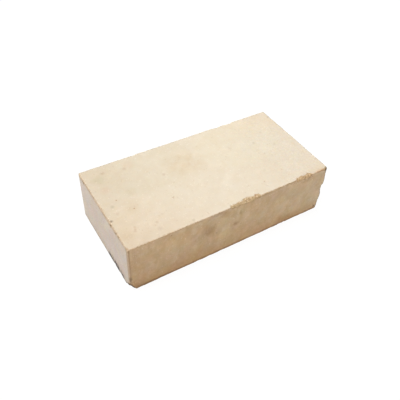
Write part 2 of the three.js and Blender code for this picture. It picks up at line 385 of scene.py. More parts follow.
def key(axis, side, a, b):
    k = [0, 0, 0]
    u, v = [n for n in (0, 1, 2) if n != axis]
    k[u], k[v] = int(a), int(b)
    k[axis] = int(COUNT[axis] * STEP) if side > 0 else 0
    return (k[0] * int(SPAN[1]) + k[1]) * int(SPAN[2]) + k[2]


corner_keys = set()
for axis, side, ring, size in cells:
    for a, b in ring:
        corner_keys.add(key(axis, side, a, b))

index = {}
order = []


def vertex(k):
    if k not in index:
        index[k] = len(order)
        order.append(k)
    return index[k]


faces = []
FINEST = STEP // 4
for axis, side, ring, size in cells:
    loop = []
    for n in range(4):
        (a0, b0), (a1, b1) = ring[n], ring[(n + 1) % 4]
        steps = size // FINEST
        loop.append(key(axis, side, a0, b0))
        for s in range(1, steps):
            k = key(axis, side, a0 + (a1 - a0) * s // steps, b0 + (b1 - b0) * s // steps)
            if k in corner_keys:
                loop.append(k)
    if len(loop) == 4:
        faces.append([vertex(k) for k in loop])
    else:
        a = sum(r[0] for r in ring) // 4
        b = sum(r[1] for r in ring) // 4
        middle = vertex(key(axis, side, a, b))
        for n in range(len(loop)):
            faces.append([vertex(loop[n]), vertex(loop[(n + 1) % len(loop)]), middle])

keys = np.array(order, np.int64)
lattice = np.stack(
    [keys // (SPAN[1] * SPAN[2]), (keys // SPAN[2]) % SPAN[1], keys % SPAN[2]], 1
)
P = lattice_mm(lattice)
Q = MID + np.clip(P - MID, -(HALF - CORE), HALF - CORE)
pits_at = pit_depth(P)
t0, t1 = np.zeros(len(P)), np.ones(len(P))
for _ in range(15):
    t = (t0 + t1) / 2
    inside = field(Q + t[:, None] * (P - Q), pits_at) < 0
    t0 = np.where(inside, t, t0)
    t1 = np.where(inside, t1, t)
S = Q + ((t0 + t1) / 2)[:, None] * (P - Q)

# ---- what each point of the surface is made of
cut = chip_cut(S)
rubbed = rub_cut(S)
away = np.sort(HALF - np.abs(S - MID), axis=1)  # distance to the nearest and next nearest face
fresh = smooth(-0.50, 0.0, cut) * (0.42 + 0.58 * smooth(0.05, 1.0, away[:, 0]))
spall = smooth(-1.5, -0.2, spall_cut(S)) * (1 - smooth(0.9, 3.6, S[:, 1] + Y))
radius = wear_radius(S)
wear = (1 - smooth(0.15, 1.0, away[:, 1] / (radius * 1.25 + 0.15))) * smooth(0.25, 1.1, radius)
wear = np.maximum(0.8 * wear, smooth(-0.38, 0.0, rubbed))
sunk = smooth(0.12, 0.5, pits_at)

mesh = bpy.data.meshes.new("brick_skin")
mesh.from_pydata((S / 1000.0).tolist(), [], faces)
mesh.update()
mesh.validate()
mesh.polygons.foreach_set("use_smooth", np.ones(len(mesh.polygons), bool))
for name, values in (("fresh", fresh), ("wear", wear), ("pit", sunk), ("spall", spall)):
    attribute = mesh.attributes.new(name, "FLOAT", "POINT")
    attribute.data.foreach_set("value", values.astype(np.float32))
brick = bpy.data.objects.new("brick_skin", mesh)
bpy.context.scene.collection.objects.link(brick)
print("brick_skin: vertices", len(mesh.vertices), "triangles", sum(len(f) - 2 for f in faces))

# ---------------------------------------------------------------- material


class Graph:
    """Short-hand for building a node material."""

    def __init__(self, name):
        self.material = bpy.data.materials.new(name)
        self.material.use_nodes = True
        self.tree = self.material.node_tree
        self.tree.nodes.clear()

    def node(self, kind, **props):
        n = self.tree.nodes.new(kind)
        for k, v in props.items():
            setattr(n, k, v)
        return n

    def put(self, socket, value):
        if isinstance(value, bpy.types.NodeSocket):
            self.tree.links.new(value, socket)
        elif value is not None:
            socket.default_value = value

    def math(self, op, a, b=None, clamp=False):
        n = self.node("ShaderNodeMath", operation=op, use_clamp=clamp)
        self.put(n.inputs[0], a)
        if b is not None:
            self.put(n.inputs[1], b)
        return n.outputs[0]

    def vec(self, op, a, b=None, scale=None):
        n = self.node("ShaderNodeVectorMath", operation=op)
        self.put(n.inputs[0], a)
        if b is not None:
            self.put(n.inputs[1], b)
        if scale is not None:
            self.put(n.inputs["Scale"], scale)
        return n.outputs["Value"] if op in ("DISTANCE", "LENGTH", "DOT_PRODUCT") else n.outputs["Vector"]

    def ramp(self, value, a, b, c=0.0, d=1.0, kind="SMOOTHSTEP"):
        n = self.node("ShaderNodeMapRange", interpolation_type=kind)
        n.clamp = True
        self.put(n.inputs["Value"], value)
        self.put(n.inputs["From Min"], a)
        self.put(n.inputs["From Max"], b)
        self.put(n.inputs["To Min"], c)
        self.put(n.inputs["To Max"], d)
        return n.outputs["Result"]

    def noise(self, vector, scale, detail=2.0, rough=0.5, distortion=0.0):
        n = self.node("ShaderNodeTexNoise", noise_dimensions="3D")
        self.put(n.inputs["Vector"], vector)
        self.put(n.inputs["Scale"], scale)
        self.put(n.inputs["Detail"], detail)
        self.put(n.inputs["Roughness"], rough)
        self.put(n.inputs["Distortion"], distortion)
        return n.outputs["Fac"], n.outputs["Color"]

    def voronoi(self, vector, scale, feature="F1", randomness=1.0):
        n = self.node("ShaderNodeTexVoronoi", voronoi_dimensions="3D", feature=feature)
        self.put(n.inputs["Vector"], vector)
        self.put(n.inputs["Scale"], scale)
        self.put(n.inputs["Randomness"], randomness)
        return n.outputs

    def mix(self, fac, a, b, blend="MIX"):
        n = self.node("ShaderNodeMix", data_type="RGBA", blend_type=blend)
        n.clamp_factor = True
        self.put(n.inputs[0], fac)
        for socket, value in ((n.inputs[6], a), (n.inputs[7], b)):
            if isinstance(value, tuple) and len(value) == 3:
                value = (*value, 1.0)
            self.put(socket, value)
        return n.outputs[2]

    def split(self, vector):
        n = self.node("ShaderNodeSeparateXYZ")
        self.put(n.inputs[0], vector)
        return n.outputs["X"], n.outputs["Y"], n.outputs["Z"]

    def join(self, x, y, z):
        n = self.node("ShaderNodeCombineXYZ")
        for socket, value in zip(n.inputs, (x, y, z)):
            self.put(socket, value)
        return n.outputs[0]

    def attribute(self, name):
        n = self.node("ShaderNodeAttribute", attribute_type="GEOMETRY", attribute_name=name)
        return n.outputs["Fac"]


g = Graph("fired_clay")
coords = g.node("ShaderNodeTexCoord")
mm = g.vec("SCALE", coords.outputs["Object"], scale=1000.0)
px, py, pz = g.split(mm)
nx, ny, nz = g.split(coords.outputs["Normal"])
fresh_at = g.attribute("fresh")
wear_at = g.attribute("wear")
pit_at = g.attribute("pit")
spall_at = g.attribute("spall")

# softly wandering coordinates, so that stains and grains have uneven outlines
_, wander_a = g.noise(mm, 0.16, 3, 0.6)
wander = g.vec("SUBTRACT", wander_a, (0.5, 0.5, 0.5))
mm_w = g.vec("ADD", mm, g.vec("SCALE", wander, scale=7.0))
_, wander_b = g.noise(mm, 0.9, 2, 0.6)
mm_f = g.vec("ADD", mm, g.vec("SCALE", g.vec("SUBTRACT", wander_b, (0.5, 0.5, 0.5)), scale=1.3))

on_long = g.ramp(g.math("ABSOLUTE", ny), 0.55, 0.9)
on_end = g.ramp(g.math("ABSOLUTE", nx), 0.55, 0.9)
on_bed = g.ramp(g.math("ABSOLUTE", nz), 0.55, 0.9)
on_front = g.math("MULTIPLY", on_long, g.ramp(ny, -0.5, 0.0, 1.0, 0.0))

# the bed, long and end colours differ partly in the clay's own tone and partly as painted light: the long faces are
# browner as painted warm shade, the ends greyer as painted cool light
BED = (0.655, 0.590, 0.478)
LONG_TONE_AND_SHADE = (0.642, 0.521, 0.356)
END_TONE_AND_COOL_LIGHT = (0.633, 0.548, 0.475)
colour = g.mix(on_long, BED, LONG_TONE_AND_SHADE)
colour = g.mix(on_end, colour, END_TONE_AND_COOL_LIGHT)
colour = g.mix(g.ramp(nx, 0.55, 0.9), colour, (1.03, 0.995, 0.94), "MULTIPLY")

# broad firing colour, then patches about a centimetre across
broad, _ = g.noise(mm, 0.014, 3, 0.55)
colour = g.mix(g.ramp(broad, 0.35, 0.7, 0.0, 0.26), colour, (1.0, 0.93, 0.84), "MULTIPLY")
patch, _ = g.noise(g.vec("ADD", mm, (310.0, -95.0, 41.0)), 0.085, 4, 0.62)
colour = g.mix(g.ramp(patch, 0.36, 0.66, 0.0, 0.32), colour, (0.93, 0.88, 0.80), "MULTIPLY")
pale, _ = g.noise(g.vec("ADD", mm, (-120.0, 215.0, 9.0)), 0.06, 4, 0.6)
colour = g.mix(g.ramp(pale, 0.5, 0.74, 0.0, 0.20), colour, (0.80, 0.715, 0.59))

# the clay varies between warmer and cooler, and between pinker and greener, over millimetres and centimetres
warm_n, _ = g.noise(g.vec("ADD", mm, (71.0, 33.0, -12.0)), 0.26, 4, 0.72)
pink_n, _ = g.noise(g.vec("ADD", mm, (-44.0, 87.0, 63.0)), 0.22, 4, 0.72)
warm_b, _ = g.noise(g.vec("ADD", mm, (-15.0, 140.0, 28.0)), 0.085, 2, 0.6)
pink_b, _ = g.noise(g.vec("ADD", mm, (160.0, -22.0, 81.0)), 0.075, 2, 0.6)
lively = g.math("ADD", 0.11, g.math("MULTIPLY", on_end, 0.16))
lively = g.math("ADD", lively, g.math("MULTIPLY", on_bed, g.ramp(px, -30.0, -110.0, 0.0, 0.05)))
lively = g.math("ADD", lively, g.math("MULTIPLY", on_bed, g.ramp(px, 20.0, 110.0, 0.0, 0.20)))
broad_amount = g.math("ADD", g.math("MULTIPLY", on_end, 0.25), g.math("MULTIPLY", on_long, 0.26))
broad_amount = g.math("ADD", broad_amount, 0.03)
warm_d = g.math("ADD", g.math("MULTIPLY", g.math("SUBTRACT", warm_n, 0.5), lively), g.math("MULTIPLY", g.math("SUBTRACT", warm_b, 0.5), broad_amount))
pink_d = g.math("ADD", g.math("MULTIPLY", g.math("SUBTRACT", pink_n, 0.5), g.math("MULTIPLY", lively, 0.42)), g.math("MULTIPLY", g.math("SUBTRACT", pink_b, 0.5), g.math("MULTIPLY", broad_amount, 0.42)))
tinge = g.join(
    g.math("ADD", 1.0, g.math("ADD", g.math("MULTIPLY", warm_d, 0.45), g.math("MULTIPLY", pink_d, 0.5))),
    g.math("SUBTRACT", 1.0, pink_d),
    g.math("SUBTRACT", g.math("ADD", 1.0, g.math("MULTIPLY", pink_d, 0.5)), warm_d),
)
colour = g.mix(1.0, colour, tinge, "MULTIPLY")
# the long faces are more unevenly fired than the bed
mottle, _ = g.noise(g.vec("MULTIPLY", mm_w, (0.12, 0.12, 0.085)), 1.0, 3, 0.62)
colour = g.mix(g.math("MULTIPLY", g.ramp(mottle, 0.36, 0.64, 0.0, 0.90, "LINEAR"), on_long), colour, (0.875, 0.83, 0.765), "MULTIPLY")

# fine grain of the pressed body
grain, _ = g.noise(mm, 1.25, 3, 0.7)
colour = g.mix(g.ramp(grain, 0.34, 0.66, 0.0, 0.30, "LINEAR"), colour, (0.86, 0.83, 0.78), "MULTIPLY")
coarse, _ = g.noise(g.vec("ADD", mm, (3.0, -7.0, 11.0)), 0.55, 3, 0.7)
coarse_amount = g.math("ADD", g.math("MULTIPLY", on_end, 0.74), g.math("MULTIPLY", on_long, 0.27))
coarse_amount = g.math("ADD", coarse_amount, g.math("MULTIPLY", on_bed, g.ramp(px, 20.0, 100.0, 0.0, 0.46)))
colour = g.mix(g.math("MULTIPLY", g.ramp(coarse, 0.36, 0.64, 0.0, 1.0, "LINEAR"), coarse_amount), colour, (0.815, 0.79, 0.76), "MULTIPLY")
colour = g.mix(coarse_amount, colour, (1.075, 1.085, 1.10), "MULTIPLY")

# pale and dark grog grains just under the skin
grog = g.voronoi(mm_f, 0.42)
grog_id, grog_id2, grog_id3 = g.split(grog["Color"])
grog_shape = g.ramp(grog["Distance"], 0.18, 0.42, 1.0, 0.0)
pale_grog = g.math("MULTIPLY", grog_shape, g.ramp(grog_id, 0.80, 0.84))
dark_grog = g.math("MULTIPLY", grog_shape, g.ramp(grog_id2, 0.90, 0.93))
colour = g.mix(g.math("MULTIPLY", pale_grog, 0.30), colour, (0.82, 0.76, 0.66))
colour = g.mix(g.math("MULTIPLY", dark_grog, 0.26), colour, (0.46, 0.34, 0.22))

# scattered iron specks with a faint halo
iron = g.voronoi(g.vec("ADD", mm_f, (57.0, 13.0, -71.0)), 0.105)
iron_id, iron_id2, _ = g.split(iron["Color"])
iron_on = g.ramp(iron_id, 0.70, 0.74)
iron_core = g.math("MULTIPLY", iron_on, g.ramp(iron["Distance"], 0.04, 0.11, 1.0, 0.0))
iron_halo = g.math("MULTIPLY", iron_on, g.ramp(iron["Distance"], 0.05, 0.30, 1.0, 0.0))
colour = g.mix(g.math("MULTIPLY", iron_halo, 0.14), colour, (0.62, 0.42, 0.24))
colour = g.mix(g.math("MULTIPLY", iron_core, g.ramp(iron_id2, 0.0, 1.0, 0.20, 0.70)), colour, (0.32, 0.19, 0.09))


def stain(base, at, r, tint, strength, where=None, stretch=None, blend="MIX", soft=0.25, coords_in=None):
    """A patch of tint around a point: full inside soft * r, gone at r, in mm."""
    v = g.vec("SUBTRACT", coords_in or mm_w, at)
    if stretch:
        v = g.vec("MULTIPLY", v, stretch)
    d = g.vec("LENGTH", v)
    f = g.math("MULTIPLY", g.ramp(d, soft * r, r, 1.0, 0.0), strength)
    if where is not None:
        f = g.math("MULTIPLY", f, where)
    return g.mix(f, base, tint, blend)


BROWN = (0.80, 0.71, 0.66)
OLIVE = (0.74, 0.755, 0.70)
DUSKY = (0.80, 0.77, 0.77)
BLACK = (0.12, 0.085, 0.055)
# listed stains of the upper bed face: (x, y, radius, tint, strength)
for sx, sy, r, tint, strength in (
    (-102.4, 49.2, 3.6, BROWN, 0.85),
    (-78.4, 45.0, 3.6, BROWN, 0.85),
    (-44.7, 16.1, 3.2, BROWN, 0.90),
    (95.0, 27.4, 2.8, BROWN, 0.80),
    (75.7, 14.7, 2.8, OLIVE, 1.00),
    (45.1, 19.7, 2.8, BROWN, 0.60),
    (-113.6, -2.4, 3.2, OLIVE, 1.00),
    (-107.8, -43.0, 2.4, BROWN, 0.90),
    (-106.7, -40.8, 2.2, BROWN, 0.95),
    (-105.8, -38.0, 2.0, BROWN, 0.70),
    (-83.6, -42.4, 2.9, BROWN, 0.80),
    (-85.0, -51.5, 4.0, DUSKY, 0.75),
    (-50.4, -57.7, 2.8, OLIVE, 0.90),
    (96.7, 1.4, 2.6, DUSKY, 0.75),
    (81.5, -13.6, 2.4, OLIVE, 0.45),
    (-113.1, -13.8, 2.9, BROWN, 0.65),
    (-74.0, -35.0, 2.4, BROWN, 0.50),
    (12.0, 41.0, 2.6, BROWN, 0.40),
    (-20.0, -38.0, 2.4, BROWN, 0.40),
    (58.0, -31.0, 2.2, OLIVE, 0.40),
    (108.0, -20.0, 2.4, BROWN, 0.45),
):
    colour = stain(colour, (sx, sy, Z), r, tint, 0.62 * strength, where=on_bed, coords_in=mm_f, blend="MULTIPLY", soft=0.1)
colour = stain(colour, (-123.6, -20.2, Z), 2.9, BLACK, 0.62, stretch=(0.75, 1.3, 1.0), coords_in=mm_f)
colour = stain(colour, (122.8, 49.3, Z), 2.2, (0.36, 0.27, 0.19), 0.5, coords_in=mm_f)
# fine orange speckle towards the right and the back of the upper face
fleck = g.voronoi(g.vec("ADD", mm_f, (19.0, 47.0, 5.0)), 0.30)
fleck_id, _, _ = g.split(fleck["Color"])
fleck_f = g.math("MULTIPLY", g.ramp(fleck["Distance"], 0.12, 0.34, 1.0, 0.0), g.ramp(fleck_id, 0.80, 0.86))
fleck_f = g.math("MULTIPLY", fleck_f, g.math("MULTIPLY", on_bed, g.ramp(px, -10.0, 80.0, 0.05, 0.22)))
colour = g.mix(fleck_f, colour, (0.66, 0.44, 0.24))
# a broad browner patch near the middle of the upper face, and cloudy places at its left end
smudge_n, _ = g.noise(g.vec("ADD", mm, (5.0, -61.0, 17.0)), 0.11, 4, 0.65)
smudge_f = g.ramp(smudge_n, 0.36, 0.62, 0.15, 1.0)
colour = stain(colour, (-14.0, 22.0, Z), 32.0, (0.955, 0.915, 0.86), smudge_f, where=on_bed, stretch=(1.0, 1.2, 1.0), blend="MULTIPLY", soft=0.35)
# broad darker, greyer tone over the left and back left of the upper face and lighter tone over its right and near left:
# painted shade and light, the fall of the light across the top
colour = stain(colour, (-55.0, 38.0, Z), 62.0, (0.965, 0.962, 0.938), 0.85, where=on_bed, stretch=(1.0, 1.35, 1.0), blend="MULTIPLY", soft=0.8)
colour = stain(colour, (58.0, 26.0, Z), 60.0, (1.016, 1.030, 1.022), 0.90, where=on_bed, stretch=(1.0, 1.3, 1.0), blend="MULTIPLY", soft=0.8)
colour = stain(colour, (-94.0, -24.0, Z), 30.0, (1.024, 1.020, 1.022), 0.90, where=on_bed, stretch=(1.0, 1.0, 1.0), blend="MULTIPLY", soft=0.8)
# the near right corner of the top is a little browner towards its arris
colour = stain(colour, (112.0, -Y + 1.0, Z), 9.0, (0.955, 0.925, 0.865), 0.9, where=on_bed, stretch=(0.45, 1.0, 1.0), blend="MULTIPLY", soft=0.2)
for sx, sy, r, tint, strength in (
    (-111.0, 41.0, 11.0, (0.90, 0.915, 0.86), 0.80),
    (-110.5, 23.0, 8.0, (0.97, 0.90, 0.875), 0.80),
    (-72.5, 50.0, 9.0, (0.975, 0.91, 0.885), 0.70),
    (-96.0, -12.0, 13.0, (0.94, 0.91, 0.86), 0.60),
    (-118.0, -46.0, 10.0, (0.93, 0.89, 0.83), 0.60),
    (-88.0, 8.0, 9.0, (0.95, 0.945, 0.90), 0.60),
):
    colour = stain(colour, (sx, sy, Z), r, tint, strength, where=on_bed, blend="MULTIPLY", soft=0.15)
# the upper face is painted a little greyer over its left third and a little darker and warmer at its near left, as
# painted shade where the light falls off across the top; its right part is a little cooler and its back right a little
# warmer
colour = g.mix(g.math("MULTIPLY", on_bed, g.ramp(px, -40.0, -122.0, 0.0, 1.0)), colour, (0.925, 0.900, 0.868), "MULTIPLY")
colour = g.mix(g.math("MULTIPLY", on_bed, g.math("MULTIPLY", g.ramp(py, -10.0, -60.0, 0.0, 0.8), g.ramp(px, 10.0, -70.0, 0.1, 1.0))), colour, (0.990, 0.955, 0.935), "MULTIPLY")
colour = g.mix(g.math("MULTIPLY", on_bed, g.ramp(px, 15.0, 100.0, 0.0, 1.0)), colour, (0.982, 0.984, 0.994), "MULTIPLY")
colour = g.mix(g.math("MULTIPLY", on_bed, g.math("MULTIPLY", g.ramp(px, 0.0, 90.0), g.ramp(py, 10.0, 50.0))), colour, (1.03, 1.0, 0.965), "MULTIPLY")
# the ends are painted darker towards the front and the foot and lighter towards the back and the top: painted light and
# shade
colour = g.mix(g.math("MULTIPLY", on_end, g.ramp(py, 20.0, -55.0, 0.0, 1.0)), colour, (0.975, 0.965, 0.965), "MULTIPLY")
colour = g.mix(g.math("MULTIPLY", on_end, g.ramp(py, 15.0, 58.0, 0.0, 1.0)), colour, (1.035, 1.055, 1.075), "MULTIPLY")
colour = g.mix(g.math("MULTIPLY", on_end, g.ramp(pz, 30.0, 2.0, 0.0, 1.0)), colour, (0.965, 0.960, 0.950), "MULTIPLY")
colour = g.mix(g.math("MULTIPLY", on_end, g.ramp(pz, 34.0, 62.0, 0.0, 1.0)), colour, (1.03, 1.03, 1.03), "MULTIPLY")
colour = g.mix(g.math("MULTIPLY", on_long, g.ramp(px, 90.0, -115.0, 0.0, 1.0)), colour, (0.945, 0.890, 0.835), "MULTIPLY")

# the long faces are painted lighter and cooler over their upper part and in a few broad bands: painted light, against
# the painted shade at their foot
colour = g.mix(
    g.math("MULTIPLY", g.math("MULTIPLY", on_long, g.ramp(pz, 26.0, 60.0)), g.ramp(px, 100.0, -60.0, 0.3, 1.0)),
    colour,
    (1.075, 1.085, 1.10),
    "MULTIPLY",
)

top_strip = g.math("MULTIPLY", on_long, g.ramp(pz, 46.0, 61.0))
colour = g.mix(g.math("MULTIPLY", top_strip, g.ramp(px, -20.0, -90.0)), colour, (1.035, 1.055, 1.085), "MULTIPLY")
colour = g.mix(g.math("MULTIPLY", g.math("MULTIPLY", on_long, g.ramp(pz, 6.0, 26.0)), g.ramp(px, 40.0, 105.0)), colour, (1.02, 1.050, 1.085), "MULTIPLY")
colour = g.mix(g.math("MULTIPLY", g.math("MULTIPLY", on_long, g.ramp(pz, 44.0, 60.0)), g.math("MULTIPLY", g.ramp(px, 60.0, 80.0), g.ramp(px, 112.0, 100.0))), colour, (1.06, 1.06, 1.07), "MULTIPLY")

colour = g.mix(g.math("MULTIPLY", g.math("MULTIPLY", on_long, g.ramp(pz, 3.0, 12.0)), g.math("MULTIPLY", g.ramp(px, 98.0, 116.0), g.ramp(pz, 46.0, 34.0))), colour, (1.005, 1.030, 1.065), "MULTIPLY")
# the foot of the left end is painted a little darker: painted shade
colour = g.mix(g.math("MULTIPLY", g.math("MULTIPLY", on_end, g.ramp(px, -X + 3.0, -X + 1.5)), g.ramp(pz, 15.0, 4.0)), colour, (0.972, 0.955, 0.935), "MULTIPLY")

# front face: darker smudges, lighter broad patches that are partly painted light, press streaks, and a darker, browner
# foot that is painted contact shade
for sx, sz, r, tint, strength, stretch in (
    (-34.5, 43.8, 15.5, (0.74, 0.69, 0.63), 0.70, (1.30, 1.0, 0.95)),
    (-13.5, 59.0, 9.0, (0.78, 0.72, 0.64), 0.60, (0.75, 1.0, 1.25)),
    (-3.0, 53.0, 6.0, (0.84, 0.79, 0.72), 0.50, (1.0, 1.0, 1.0)),
    (1.5, 36.0, 4.6, (0.70, 0.64, 0.58), 0.75, (0.8, 1.0, 1.2)),
    (6.0, 51.0, 5.0, (0.74, 0.68, 0.60), 0.60, (2.2, 1.0, 1.0)),
    (94.0, 58.0, 5.5, (0.80, 0.74, 0.66), 0.55, (0.8, 1.0, 1.6)),
    (-70.0, 40.0, 10.0, (0.88, 0.83, 0.76), 0.12, (1.4, 1.0, 0.8)),
    (-76.0, 38.0, 26.0, (1.075, 1.085, 1.115), 0.85, (0.8, 1.0, 1.0)),
    (-13.0, 29.0, 15.0, (1.07, 1.10, 1.055), 0.85, (1.0, 1.0, 0.9)),
    (-34.0, 57.0, 9.0, (0.89, 0.875, 0.86), 0.80, (0.7, 1.0, 1.2)),
    (62.0, 7.0, 14.0, (0.945, 0.945, 0.905), 0.85, (0.40, 1.0, 1.2)),
    (90.0, 42.0, 14.0, (1.04, 1.045, 1.06), 0.80, (1.0, 1.0, 0.8)),
    (110.0, 8.0, 9.0, (1.02, 1.05, 1.12), 0.80, (1.0, 1.0, 1.0)),
    (40.0, 20.0, 12.0, (0.90, 0.86, 0.80), 0.50, (1.0, 1.0, 1.2)),
    (78.0, 5.0, 13.0, (0.87, 0.80, 0.70), 0.85, (0.8, 1.0, 1.4)),
    (-30.0, 41.0, 8.0, (0.84, 0.79, 0.72), 0.55, (1.0, 1.0, 0.8)),
    (114.0, 58.5, 5.5, (0.90, 0.86, 0.82), 0.80, (0.6, 1.0, 1.2)),
    (66.0, 11.0, 5.0, (0.90, 0.80, 0.68), 0.60, (1.0, 1.0, 1.0)),
):
    colour = stain(colour, (sx, -Y, sz), r, tint, strength, where=on_front, stretch=stretch, blend="MULTIPLY", soft=0.2)
for sx, sz, r in ((-15.0, 36.0, 4.5), (14.0, 43.0, 6.5), (-52.0, 52.0, 6.0), (68.0, 34.0, 8.0)):
    colour = stain(colour, (sx, -Y, sz), r, (0.70, 0.58, 0.43), 0.38, where=on_front, soft=0.15)
streak_v = g.vec("MULTIPLY", mm_w, (0.36, 0.36, 0.030))
streak, _ = g.noise(streak_v, 1.0, 3, 0.6)
on_upright = g.math("MAXIMUM", on_long, g.math("MULTIPLY", on_end, 0.4))
streak_amount = g.math("MULTIPLY", on_upright, g.ramp(px, 10.0, -115.0, 0.35, 1.0))
colour = g.mix(
    g.math("MULTIPLY", g.ramp(streak, 0.40, 0.66, 0.0, 0.22), streak_amount), colour, (0.84, 0.78, 0.69), "MULTIPLY"
)
# the foot of the long faces and the line along their lower arris are painted darker and browner: painted contact shade
# where they meet the floor
foot_n = g.math("MULTIPLY", g.math("SUBTRACT", patch, 0.5), 22.0)
foot = g.math("MULTIPLY", g.ramp(g.math("ADD", pz, foot_n), 26.0, 0.0), on_long)
colour = g.mix(g.math("MULTIPLY", foot, 0.80), colour, (0.86, 0.735, 0.585), "MULTIPLY")
foot_line = g.math("MULTIPLY", g.ramp(g.math("ADD", pz, g.math("MULTIPLY", g.math("SUBTRACT", warm_n, 0.5), 5.0)), 5.0, 0.7), g.math("MAXIMUM", on_long, g.math("MULTIPLY", on_end, 0.45)))
colour = g.mix(foot_line, colour, (0.54, 0.48, 0.42), "MULTIPLY")
colour = g.mix(g.math("MULTIPLY", foot_line, g.ramp(px, -60.0, -112.0, 0.0, 0.85)), colour, (0.52, 0.50, 0.46), "MULTIPLY")

# rubbed arrises show the ochre body
rub_n, _ = g.noise(mm, 0.42, 4, 0.68)
rub = g.math("MULTIPLY", wear_at, g.ramp(rub_n, 0.34, 0.60, 0.10, 1.0))
rub_dark, _ = g.noise(g.vec("ADD", mm, (9.0, 9.0, -27.0)), 0.30, 4, 0.7)
rub_tint = g.mix(g.ramp(rub_dark, 0.42, 0.62), (0.53, 0.375, 0.235), (0.34, 0.225, 0.125))
at_left_front = g.math("MULTIPLY", g.ramp(px, -X + 6.0, -X + 3.0), g.math("MULTIPLY", g.ramp(py, -Y + 6.0, -Y + 3.0), g.ramp(pz, 62.0, 58.0)))
rub = g.math("MULTIPLY", rub, g.ramp(at_left_front, 0.0, 1.0, 1.0, 0.25))
colour = g.mix(g.math("MULTIPLY", rub, 0.66), colour, rub_tint)
# the upright arris at the near left end is painted in the long face's darker tone, a few millimetres wide: painted
# shade on the rounding that turns away from the light
arris_shade_band = g.ramp(g.math("ADD", g.math("ADD", py, Y), g.math("MULTIPLY", g.math("SUBTRACT", rub_n, 0.5), 2.6)), 5.7, 3.0)
arris_shade_band = g.math("MULTIPLY", arris_shade_band, g.ramp(px, -X + 2.4, -X + 1.2))
colour = g.mix(g.math("MULTIPLY", arris_shade_band, 0.88), colour, g.mix(g.ramp(rub_dark, 0.40, 0.62), (0.48, 0.34, 0.218), (0.41, 0.283, 0.175)))

# the upper arris of the left end is stained for a few millimetres below it
lip_at = g.math("ADD", g.math("SUBTRACT", Z, pz), g.math("MULTIPLY", g.math("SUBTRACT", rub_n, 0.5), 3.4))
lip = g.math("MULTIPLY", g.ramp(lip_at, 7.2, 1.8), g.math("MULTIPLY", on_end, g.ramp(px, -X + 3.0, -X + 1.5)))
colour = g.mix(g.math("MULTIPLY", lip, 0.70), colour, g.mix(g.ramp(rub_dark, 0.40, 0.62), (0.61, 0.465, 0.310), (0.46, 0.330, 0.205)))

# broken surfaces: ochre matrix, dark hollows, pale angular grains
body_n, _ = g.noise(mm, 0.50, 5, 0.72)
body = g.mix(g.ramp(body_n, 0.34, 0.66), (0.345, 0.232, 0.115), (0.59, 0.445, 0.265))
body = g.mix(g.ramp(px, 62.0, 80.0), body, (1.10, 1.07, 1.06), "MULTIPLY")
body_grog = g.voronoi(mm_f, 0.62)
bid, bid2, _ = g.split(body_grog["Color"])
body = g.mix(
    g.math("MULTIPLY", g.ramp(body_grog["Distance"], 0.25, 0.5, 1.0, 0.0), g.ramp(bid, 0.74, 0.80, 0.0, 0.8)),
    body,
    (0.80, 0.66, 0.47),
)
body = g.mix(
    g.math("MULTIPLY", g.ramp(body_grog["Distance"], 0.2, 0.45, 1.0, 0.0), g.ramp(bid2, 0.88, 0.92, 0.0, 0.7)),
    body,
    (0.22, 0.14, 0.08),
)
# the corner break is darker than the small chips, partly its own deeper colour and partly painted shade; its lower
# part, which faces down, is painted much darker as painted shade
break_tone_and_shade = g.ramp(g.vec("LENGTH", g.vec("SUBTRACT", mm, tuple(float(c) for c in BREAK_AT))), 8.0, 15.0, 1.0, 0.0)
low = g.math("MULTIPLY", break_tone_and_shade, g.ramp(g.math("ADD", pz, g.math("MULTIPLY", g.math("SUBTRACT", body_n, 0.5), 4.0)), 9.0, 3.5, 0.0, 1.0))
body = g.mix(break_tone_and_shade, body, (0.73, 0.62, 0.52), "MULTIPLY")
body = g.mix(low, body, (0.17, 0.145, 0.105), "MULTIPLY")
edge_n, _ = g.noise(mm, 1.4, 3, 0.7)
fresh_f = g.ramp(g.math("ADD", fresh_at, g.math("MULTIPLY", g.math("SUBTRACT", edge_n, 0.5), 0.7)), 0.25, 0.7)
colour = g.mix(g.math("MULTIPLY", fresh_f, 0.92), colour, body)

# the spalled upright arris at the right is painted darker: painted shade on the spalled surfaces, which face away from
# the light
spall_shade_n = g.ramp(rub_dark, 0.36, 0.62, 0.45, 0.95)
colour = g.mix(g.math("MULTIPLY", spall_at, spall_shade_n), colour, (0.25, 0.175, 0.10))

# below the broken stretches of the upper front arris the long face is painted greyer and darker: painted shade under
# the broken edge
for sx, r, strength in ((-24.0, 10.0, 0.75), (39.0, 8.0, 0.65), (56.0, 6.0, 0.4), (-44.0, 7.0, 0.35)):
    colour = stain(colour, (sx, -Y, Z - 1.6), r, (0.78, 0.745, 0.72), strength, where=on_long, stretch=(1.0, 1.0, 3.6), blend="MULTIPLY", soft=0.3)
